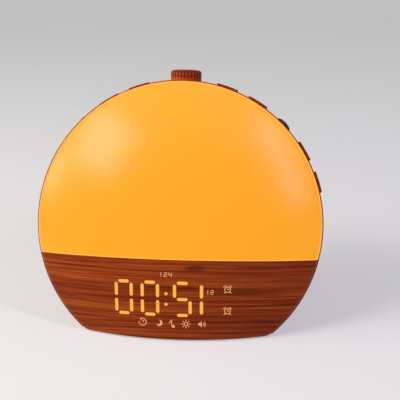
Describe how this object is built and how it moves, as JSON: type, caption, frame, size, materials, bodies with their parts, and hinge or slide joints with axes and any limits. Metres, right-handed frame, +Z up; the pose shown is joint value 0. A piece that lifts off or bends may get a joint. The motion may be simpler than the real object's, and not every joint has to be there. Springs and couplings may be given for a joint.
{
  "type": "sunrise alarm clock",
  "caption": "Round leaning lamp clock: domed light cover, wood-grain band with hidden display, side keys and a push-and-turn knob on top.",
  "frame": {"origin": "on the table under the rubber feet, below the middle of the body's bounding box", "axes": "+X to the right of the front, the lit front faces -Y, +Z up"},
  "size_m": [0.18, 0.1036, 0.1554],
  "materials": {
    "light_cover": "milky translucent cover, satin, lit amber from behind",
    "wood_grain_front": "reddish bamboo-grain film, satin",
    "wood_grain_shell": "reddish bamboo-grain film, satin",
    "wood_grain_keys": "reddish bamboo-grain film, satin",
    "wood_grain_knob": "reddish bamboo-grain film, ribbed side",
    "button_black": "smooth semi-gloss",
    "base_black": "fine moulded texture",
    "grille_black": "fine moulded texture",
    "foot_rubber": "matt",
    "screw_steel": "zinc plated",
    "nut_steel": "nickel plated",
    "inlet_black": "moulded",
    "basket_steel": "black powder coat",
    "magnet_ferrite": "ground ferrite between plated discs",
    "cone_paper": "treated paper",
    "board_white": "white solder resist",
    "board_green": "green solder resist",
    "reflector_white": "white film",
    "mask_white": "white light wells",
    "switch_black": "moulded",
    "chip_black": "moulded chip packages and capacitor sleeves",
    "header_black": "moulded pin headers",
    "spacer_brass": "turned hexagon bar",
    "contact_brass": "spring sheet",
    "encoder_steel": "pressed can and turned bush",
    "shaft_aluminium": "turned",
    "plunger_white": "moulded",
    "cell_steel": "polished nickel plate",
    "lamp_amber": "lamp chips, lit",
    "figure_amber": "display chips, lit"
  },
  "bodies": {
    "body": {"diffuser": "light_cover", "front_band": "wood_grain_front", "rear_housing": "wood_grain_shell", "base_plate": "base_black", "battery_door": "base_black", "battery_screw": "screw_steel", "rubber_feet": "foot_rubber", "base_screws": "screw_steel", "speaker_grille": "grille_black", "speaker_basket": "basket_steel", "speaker_magnet": "magnet_ferrite", "speaker_cone": "cone_paper", "speaker_screws": "screw_steel", "dc_jack": "inlet_black", "jack_nut": "nut_steel", "light_board": "board_white", "led_chips": "lamp_amber", "reflector": "reflector_white", "main_board": "board_green", "board_chips": "chip_black", "board_headers": "header_black", "key_switches": "switch_black", "board_spacers": "spacer_brass", "board_screws": "screw_steel", "display_board": "board_green", "display_leds": "figure_amber", "display_mask": "mask_white", "display_screws": "screw_steel", "encoder_body": "encoder_steel", "encoder_nut": "nut_steel", "encoder_board": "board_green", "coin_cell": "cell_steel", "cell_contacts": "contact_brass"},
    "push_stem": {"encoder_plunger": "plunger_white"},
    "dial": {"encoder_shaft": "shaft_aluminium", "knob": "wood_grain_knob"},
    "key_left_1_cap": {"key_left_1": "wood_grain_keys"},
    "key_left_2_cap": {"key_left_2": "wood_grain_keys"},
    "key_left_3_cap": {"key_left_3": "button_black"},
    "key_left_4_cap": {"key_left_4": "wood_grain_keys"},
    "key_left_5_cap": {"key_left_5": "wood_grain_keys"},
    "key_right_1_cap": {"key_right_1": "wood_grain_keys"},
    "key_right_2_cap": {"key_right_2": "wood_grain_keys"},
    "key_right_3_cap": {"key_right_3": "button_black"},
    "key_right_4_cap": {"key_right_4": "wood_grain_keys"},
    "key_right_5_cap": {"key_right_5": "wood_grain_keys"}
  },
  "joints": [
    {"name": "knob_push", "type": "slide", "parent": "body", "child": "push_stem", "axis": [0, -0.2689, -0.9632], "range_m": [0, 0.0005], "stiffness_N_per_m": 2500, "springref_m": -0.0004},
    {"name": "knob_turn", "type": "hinge", "parent": "push_stem", "child": "dial", "pos_m": [0, 0.03193, 0.14489], "axis": [0, 0.2689, 0.9632], "continuous": true},
    {"name": "key_left_1_press", "type": "slide", "parent": "body", "child": "key_left_1_cap", "axis": [0.309, -0.2558, -0.916], "range_m": [0, 0.0006], "stiffness_N_per_m": 1500, "springref_m": -0.0004},
    {"name": "key_left_2_press", "type": "slide", "parent": "body", "child": "key_left_2_cap", "axis": [0.5225, -0.2293, -0.8212], "range_m": [0, 0.0006], "stiffness_N_per_m": 1500, "springref_m": -0.0004},
    {"name": "key_left_3_press", "type": "slide", "parent": "body", "child": "key_left_3_cap", "axis": [0.7071, -0.1902, -0.6811], "range_m": [0, 0.0006], "stiffness_N_per_m": 1500, "springref_m": -0.0004},
    {"name": "key_left_4_press", "type": "slide", "parent": "body", "child": "key_left_4_cap", "axis": [0.8526, -0.1405, -0.5033], "range_m": [0, 0.0006], "stiffness_N_per_m": 1500, "springref_m": -0.0004},
    {"name": "key_left_5_press", "type": "slide", "parent": "body", "child": "key_left_5_cap", "axis": [0.9511, -0.0831, -0.2976], "range_m": [0, 0.0006], "stiffness_N_per_m": 1500, "springref_m": -0.0004},
    {"name": "key_right_1_press", "type": "slide", "parent": "body", "child": "key_right_1_cap", "axis": [-0.309, -0.2558, -0.916], "range_m": [0, 0.0006], "stiffness_N_per_m": 1500, "springref_m": -0.0004},
    {"name": "key_right_2_press", "type": "slide", "parent": "body", "child": "key_right_2_cap", "axis": [-0.5225, -0.2293, -0.8212], "range_m": [0, 0.0006], "stiffness_N_per_m": 1500, "springref_m": -0.0004},
    {"name": "key_right_3_press", "type": "slide", "parent": "body", "child": "key_right_3_cap", "axis": [-0.7071, -0.1902, -0.6811], "range_m": [0, 0.0006], "stiffness_N_per_m": 1500, "springref_m": -0.0004},
    {"name": "key_right_4_press", "type": "slide", "parent": "body", "child": "key_right_4_cap", "axis": [-0.8526, -0.1405, -0.5033], "range_m": [0, 0.0006], "stiffness_N_per_m": 1500, "springref_m": -0.0004},
    {"name": "key_right_5_press", "type": "slide", "parent": "body", "child": "key_right_5_cap", "axis": [-0.9511, -0.0831, -0.2976], "range_m": [0, 0.0006], "stiffness_N_per_m": 1500, "springref_m": -0.0004}
  ]
}
